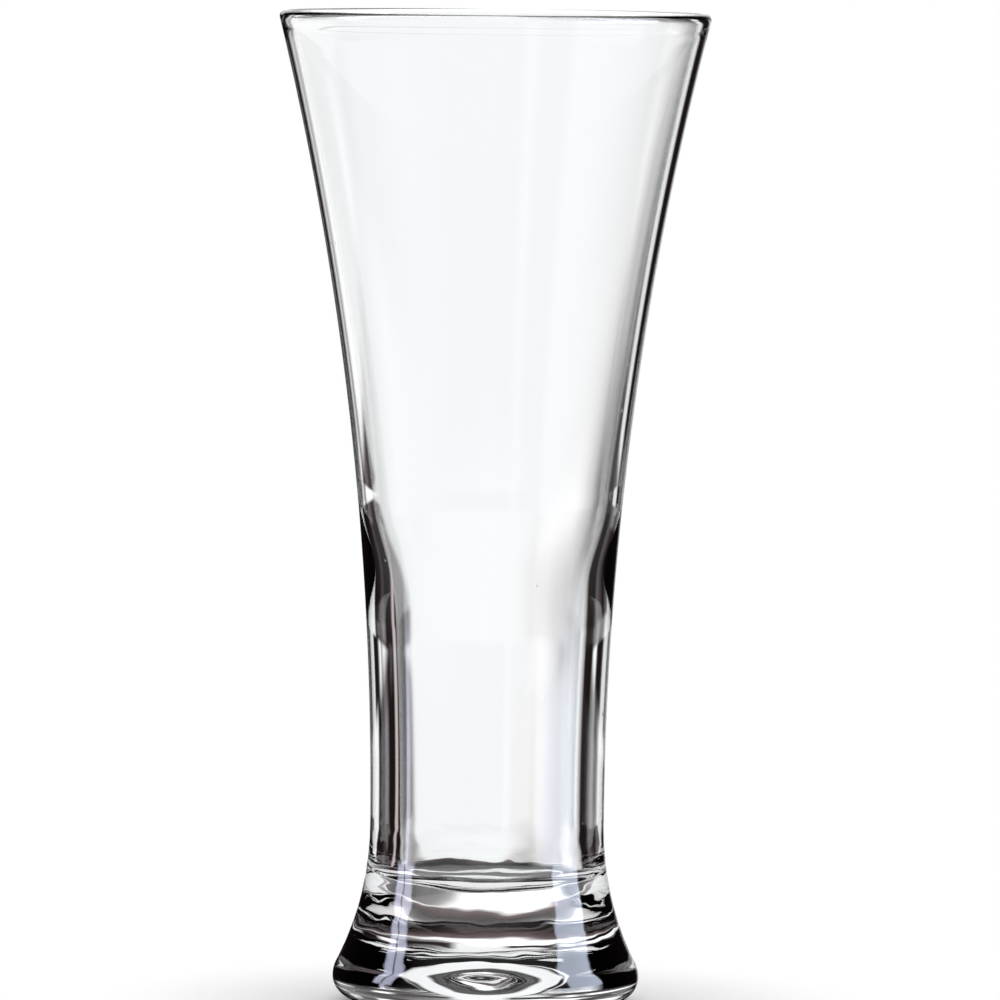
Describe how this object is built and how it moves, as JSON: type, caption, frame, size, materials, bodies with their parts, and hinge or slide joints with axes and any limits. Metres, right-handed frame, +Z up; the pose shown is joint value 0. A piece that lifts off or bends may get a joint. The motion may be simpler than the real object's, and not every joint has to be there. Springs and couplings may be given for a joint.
{
  "type": "pilsner glass",
  "caption": "Tall clear drinking glass: a thin flared bowl over a thick inner shoulder, a narrow waist and a heavy solid foot.",
  "frame": {"origin": "on the glass's axis, in the plane of the bearing ring that it stands on", "axes": "+Z up along the glass's axis, from the foot to the rim; X and Y are level and equal, because the glass is round"},
  "size_m": [0.08, 0.08, 0.184],
  "materials": {
    "clear_glass": "fire-polished, clear, very slightly wavy"
  },
  "bodies": {
    "root": {"rim": "clear_glass", "bowl": "clear_glass", "lower_wall": "clear_glass", "foot": "clear_glass"}
  },
  "joints": []
}
